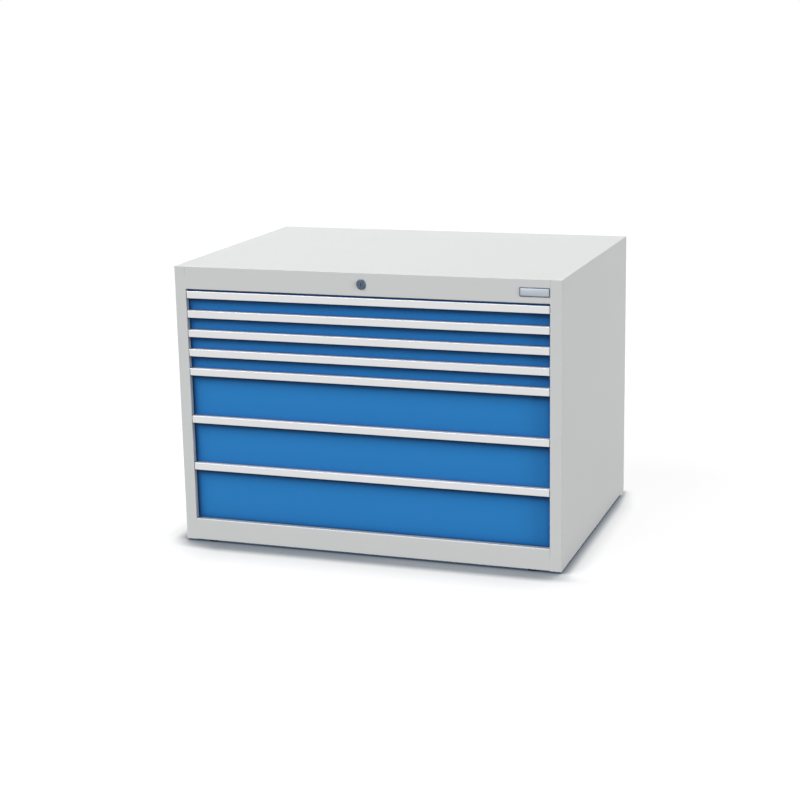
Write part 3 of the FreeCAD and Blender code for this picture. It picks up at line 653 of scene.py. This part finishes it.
def seam_welds():
    """Welds ground nearly flush, which close the seams between the stiles and the rails."""
    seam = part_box("side_panel_right")[0][0]
    plinth_low, plinth_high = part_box("floor_panel")
    spans = ((LINTEL + FOLD_RADIUS / 2, TOP - FOLD_RADIUS),
             (plinth_low[2] + FOLD_RADIUS / 2, plinth_high[2] - FOLD_RADIUS / 2))
    welds = []
    for side in (1, -1):
        edges = (side * (seam - WELD_OVERLAP), side * (seam + FOLD_RADIUS + WELD_OVERLAP))
        for foot, head in spans:
            weld = start_box("weld", (min(edges), FRONT_FACE + WELD_SINK, foot),
                             (max(edges), FRONT_FACE + FOLD_RADIUS, head))
            step_in(weld, faces_front, WELD_OVERLAP, (0, WELD_SINK / 2, 0))
            round_edges(weld, WELD_SINK)
            welds.append(weld)
    hand_over(join(welds, "seam_welds"), "carcass",
              MATERIALS["carcass_paint"])


# ----------------------------------------------------------------- small parts

# Radius and height of each kind of head.
RIVET_HEAD = (4 * MM, 1.1 * MM)
AXLE_HEAD = (3 * MM, 0.35 * MM)
SCREW_HEAD = (4.5 * MM, 1.8 * MM)
REAR_RIVET_HEAD = (2.6 * MM, 0.9 * MM)

# Shape of the heads: shares of their radius or height, the number of their sides, and
# the angle in degrees from which an edge is rounded.
RIVET_CROWN_INSET = 0.35
RIVET_CROWN_RISE = 0.3
RIVET_ROUND = 0.3
RIVET_SIDES = 20
SCREW_CROWN_INSET = 0.3
SCREW_CROWN_RISE = 0.2
SCREW_ROUND = 0.25
SCREW_SIDES = 24
CROSS_REACH = 0.55
CROSS_HALF_WIDTH = 0.1
CROSS_FLOOR = 0.35
HEAD_EDGE_ANGLE = 30

CARRIAGE_SHEET = 1.5 * MM
CARRIAGE_FLANGE = 6 * MM
CHANNEL_DEPTH = 8 * MM
TRAY_SHEET = 1.2 * MM

RUNNER_RIVET_SHARES = (0.1, 0.5, 0.9)
FRONT_SCREW_PLACES = (-400 * MM, -200 * MM, 0, 200 * MM, 400 * MM)
REAR_RIVET_INSET = 11 * MM
SIDE_RIVET_SHARES = (0.08, 0.36, 0.64, 0.92)
END_RIVET_SHARES = (-0.7, -0.25, 0.25, 0.7)


def rivet_master(radius, height):
    """A domed rivet head."""
    head = start_head("rivet_master", radius, height, RIVET_SIDES)
    step_in(head, faces_along_x, radius * RIVET_CROWN_INSET,
            (height * RIVET_CROWN_RISE, 0, 0))
    round_edges(head, height * RIVET_ROUND, HEAD_EDGE_ANGLE)
    return head


def screw_master(radius, height):
    """A pan head with a cross recess."""
    head = start_head("screw_master", radius, height, SCREW_SIDES)
    step_in(head, faces_along_x, radius * SCREW_CROWN_INSET,
            (height * SCREW_CROWN_RISE, 0, 0))
    round_edges(head, height * SCREW_ROUND, HEAD_EDGE_ANGLE)
    reach, half = radius * CROSS_REACH, radius * CROSS_HALF_WIDTH
    for turn in (0, math.pi / 2):
        cutter = start_box("recess", (height * CROSS_FLOOR, -reach, -half),
                           (height * 2, reach, half))
        cutter.data.transform(Matrix.Rotation(turn, 4, "X"))
        cut = head.modifiers.new("recess", "BOOLEAN")
        cut.operation = "DIFFERENCE"
        cut.solver = "EXACT"
        cut.object = cutter
        apply_modifier(head, cut)
        remove(cutter)
    return head


def pointing(direction, place):
    """The matrix that turns +X to a direction and moves to a place."""
    turn = Vector((1, 0, 0)).rotation_difference(Vector(direction)).to_matrix().to_4x4()
    return Matrix.Translation(place) @ turn


def scatter(master, name, body, places):
    """Copies of a steel head at (direction, place) pairs, joined into one piece."""
    copies = [copy_to(master, f"{name}_{i}", pointing(direction, place))
              for i, (direction, place) in enumerate(places)]
    hand_over(join(copies, name), body, SCREW_STEEL)


def carriage_heads(n, rivet, axle):
    """Rivets of the front and rear rollers, and the rear axles' ends.  Gives back the
    level of the slide."""
    low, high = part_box(f"carriage_{n}_rollers")
    radius, level = (high[2] - low[2]) / 2, (high[2] + low[2]) / 2
    front_y, rear_y = low[1] + radius, high[1] - radius
    outer_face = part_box(f"carriage_{n}_rails")[1][0] - (CARRIAGE_FLANGE - CARRIAGE_SHEET)
    inner_face = outer_face - CARRIAGE_SHEET
    rivets, axles = [], []
    for side in (1, -1):
        rivets += [((side, 0, 0), (side * outer_face, front_y, level)),
                   ((-side, 0, 0), (side * inner_face, rear_y, level))]
        axles.append(((side, 0, 0), (side * high[0], rear_y, level)))
    scatter(rivet, f"carriage_{n}_rivets", f"carriage_{n}", rivets)
    scatter(axle, f"carriage_{n}_axles", f"carriage_{n}", axles)
    return level


def drawer_heads(n, level, rivet, screw):
    """Rivets that hold the runners to the tray, and screws that hold the front."""
    low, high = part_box(f"drawer_{n}_tray")
    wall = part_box(f"drawer_{n}_runners")[1][0] - CHANNEL_DEPTH - TRAY_SHEET
    rivets = [((-side, 0, 0), (side * wall, low[1] + share * (high[1] - low[1]), level))
              for share in RUNNER_RIVET_SHARES for side in (1, -1)]
    scatter(rivet, f"drawer_{n}_runner_rivets", f"drawer_{n}", rivets)
    screws = [((0, 1, 0), (across, low[1] + TRAY_SHEET, level))
              for across in FRONT_SCREW_PLACES]
    scatter(screw, f"drawer_{n}_front_screws", f"drawer_{n}", screws)


def fittings():
    """Heads of the rivets, axles and screws of all drawers and carriages."""
    rivet = rivet_master(*RIVET_HEAD)
    screw = screw_master(*SCREW_HEAD)
    axle = rivet_master(*AXLE_HEAD)
    for n in DRAWERS:
        level = carriage_heads(n, rivet, axle)
        drawer_heads(n, level, rivet, screw)
    for master in (rivet, screw, axle):
        remove(master)


def rear_rivets():
    """Blind rivets that hold the back sheet in the rear flanges."""
    low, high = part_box("back_panel")
    side_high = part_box("side_panel_right")[1]
    across, rear = side_high[0] - REAR_RIVET_INSET, side_high[1]
    head, foot = high[2] - REAR_RIVET_INSET, low[2] - REAR_RIVET_INSET
    spots = []
    for share in SIDE_RIVET_SHARES:
        level = foot + share * (head - foot)
        spots += [(across, level), (-across, level)]
    for share in END_RIVET_SHARES:
        spots += [(share * across, head), (share * across, foot)]
    rivet = rivet_master(*REAR_RIVET_HEAD)
    scatter(rivet, "rear_rivets", "carcass", [((0, 1, 0), (x, rear, z)) for x, z in spots])
    remove(rivet)


# ---------------------------------------------------------------------- studio

# Place in metres, turn in degrees, lens and sensor in millimetres.
CAMERA_PLACE = (1.4601, -4.2945, 1.4106)
CAMERA_TURN = (76.4976, 1.0833, 18.9142)
FOCAL_LENGTH = 78.3
SENSOR_WIDTH = 36.0
VIEW_END = 100.0
LAMP_DISTANCE = 6.0


def camera():
    """The eye that the scene is seen from."""
    data = bpy.data.cameras.new("camera")
    data.lens = FOCAL_LENGTH
    data.sensor_width = SENSOR_WIDTH
    data.clip_end = VIEW_END
    eye = bpy.data.objects.new("camera", data)
    eye.location = CAMERA_PLACE
    eye.rotation_euler = [math.radians(angle) for angle in CAMERA_TURN]
    bpy.context.collection.objects.link(eye)
    bpy.context.scene.camera = eye


def lamp(name, azimuth, elevation, level, width, glint=True):
    """A far, soft lamp.  Level is the share of full white that it adds to a surface
    that faces it; azimuth turns from the front towards +X; width is the angle that the
    lamp fills, in degrees.  A lamp without glint leaves no shine on the sheets."""
    data = bpy.data.lights.new(name, "SUN")
    data.angle = math.radians(width)
    data.energy = level * math.pi
    thing = bpy.data.objects.new(name, data)
    turn, rise = math.radians(azimuth), math.radians(elevation)
    away = Vector((math.sin(turn) * math.cos(rise), -math.cos(turn) * math.cos(rise),
                   math.sin(rise)))
    thing.location = away * LAMP_DISTANCE
    thing.visible_glossy = glint
    thing.rotation_euler = (-away).to_track_quat("-Z", "Y").to_euler()
    bpy.context.collection.objects.link(thing)


FLOOR_SIZE = 60.0

# Shares of full white: what the sky and the floor give to the rays that carry light,
# and how the open floor shows to the eye, by its paint and by its own glow.
SKY = 0.09
FLOOR_BOUNCE = 0.03
FLOOR_WHITE = 0.12
FLOOR_GLOW = 0.93
FLOOR_FILL = (0.06, 0.06, 0.06, 1.0)
SHADE_DEEP = srgb(60, 76, 92)

# The two shades round the foot: how far each reaches in front and at the left and
# right, and its power in front and beside.
CLOSE_SHADE = {"front": 74 * MM, "left": 45 * MM, "right": 28 * MM,
               "front_power": 5.4, "side_power": 2.2}
WIDE_SHADE = {"front": 220 * MM, "left": 110 * MM, "right": 68 * MM,
              "front_power": 0.9, "side_power": 0.9}

# Bands along an axis in which one kind of shade gives way to the next.
AHEAD_BAND = (FRONT_FACE, FRONT_FACE - 40 * MM)
LEFT_CORNER_BAND = (LEFT_FACE - 60 * MM, LEFT_FACE + 100 * MM)
REAR_BAND = (REAR_FACE - 150 * MM, REAR_FACE + 30 * MM)
MIDDLE_BAND = (-100 * MM, 100 * MM)
REAR_SHARE = 0.35


def seen_directly(tree):
    """1 for camera, mirror and glass rays, 0 for the rays that carry light."""
    rays = add_node(tree, "ShaderNodeLightPath").outputs
    seen = maths(tree, "MAXIMUM", rays["Is Camera Ray"], rays["Is Glossy Ray"])
    return maths(tree, "MAXIMUM", seen, rays["Is Transmission Ray"])


def open_floor(tree):
    """How open the floor is: 0 at the object's foot, 1 away from it.  The shade reaches
    far in front, less beside the object, and least at the rear."""
    axis = add_node(tree, "ShaderNodeSeparateXYZ", {"Vector": object_place(tree)}).outputs
    ahead = spread(tree, axis["Y"], *AHEAD_BAND, 0.0, 1.0)
    inside = spread(tree, axis["X"], *LEFT_CORNER_BAND, 0.0, 1.0)
    in_front = maths(tree, "MULTIPLY", ahead, inside)
    rearwards = spread(tree, axis["Y"], *REAR_BAND, 1.0, REAR_SHARE)
    rightwards = spread(tree, axis["X"], *MIDDLE_BAND, 0.0, 1.0)
    shares = []
    for shade in (CLOSE_SHADE, WIDE_SHADE):
        sides = mix_values(tree, rightwards, shade["left"], shade["right"])
        beside = maths(tree, "MULTIPLY", rearwards, sides)
        reach = mix_values(tree, in_front, beside, shade["front"])
        near = add_node(tree, "ShaderNodeAmbientOcclusion", {"Distance": reach}, samples=12)
        power = mix_values(tree, in_front, shade["side_power"], shade["front_power"])
        shares.append(maths(tree, "POWER", near.outputs["AO"], power, clamp=True))
    return maths(tree, "MULTIPLY", *shares)


def floor():
    """White to the eye where it is open, darker close round the object's foot, and dim
    to the rays that carry light."""
    deselect()
    bpy.ops.mesh.primitive_plane_add(size=FLOOR_SIZE, location=(0, 0, 0))
    ground = bpy.context.object
    ground.name = "floor"
    material, tree, shader = new_material("floor", Roughness=0.9, Specular_IOR_Level=0.0)
    shade = blend_colours(tree, open_floor(tree), SHADE_DEEP, WHITE)
    direct = seen_directly(tree)
    lit = add_node(tree, "ShaderNodeHueSaturation", {
        "Color": shade, "Value": mix_values(tree, direct, FLOOR_BOUNCE, FLOOR_WHITE)})
    glow = add_node(tree, "ShaderNodeHueSaturation", {"Color": shade, "Value": FLOOR_GLOW})
    shown = blend_colours(tree, direct, FLOOR_FILL, glow.outputs["Color"])
    tree.links.new(lit.outputs["Color"], shader.inputs["Base Color"])
    tree.links.new(shown, shader.inputs["Emission Color"])
    shader.inputs["Emission Strength"].default_value = 1.0
    ground.data.materials.append(material)


def surround():
    """An even pale sky that lights the object and shows as white."""
    world = bpy.data.worlds.new("surround")
    bpy.context.scene.world = world
    world.use_nodes = True
    tree = world.node_tree
    background = tree.nodes["Background"]
    background.inputs["Color"].default_value = WHITE
    tree.links.new(mix_values(tree, seen_directly(tree), SKY, 1.0),
                   background.inputs["Strength"])


def studio():
    """The floor, the sky and three lamps."""
    floor()
    surround()
    lamp("key", azimuth=-38, elevation=46.6, level=1.217, width=40)
    lamp("side", azimuth=78, elevation=8, level=0.66, width=14)
    lamp("back", azimuth=205, elevation=6, level=0.60, width=20, glint=False)


dress_cad_nodes()
name_plate()
dust_lip()
seam_welds()
fittings()
rear_rivets()
studio()
camera()
bpy.context.scene.view_settings.view_transform = "Standard"
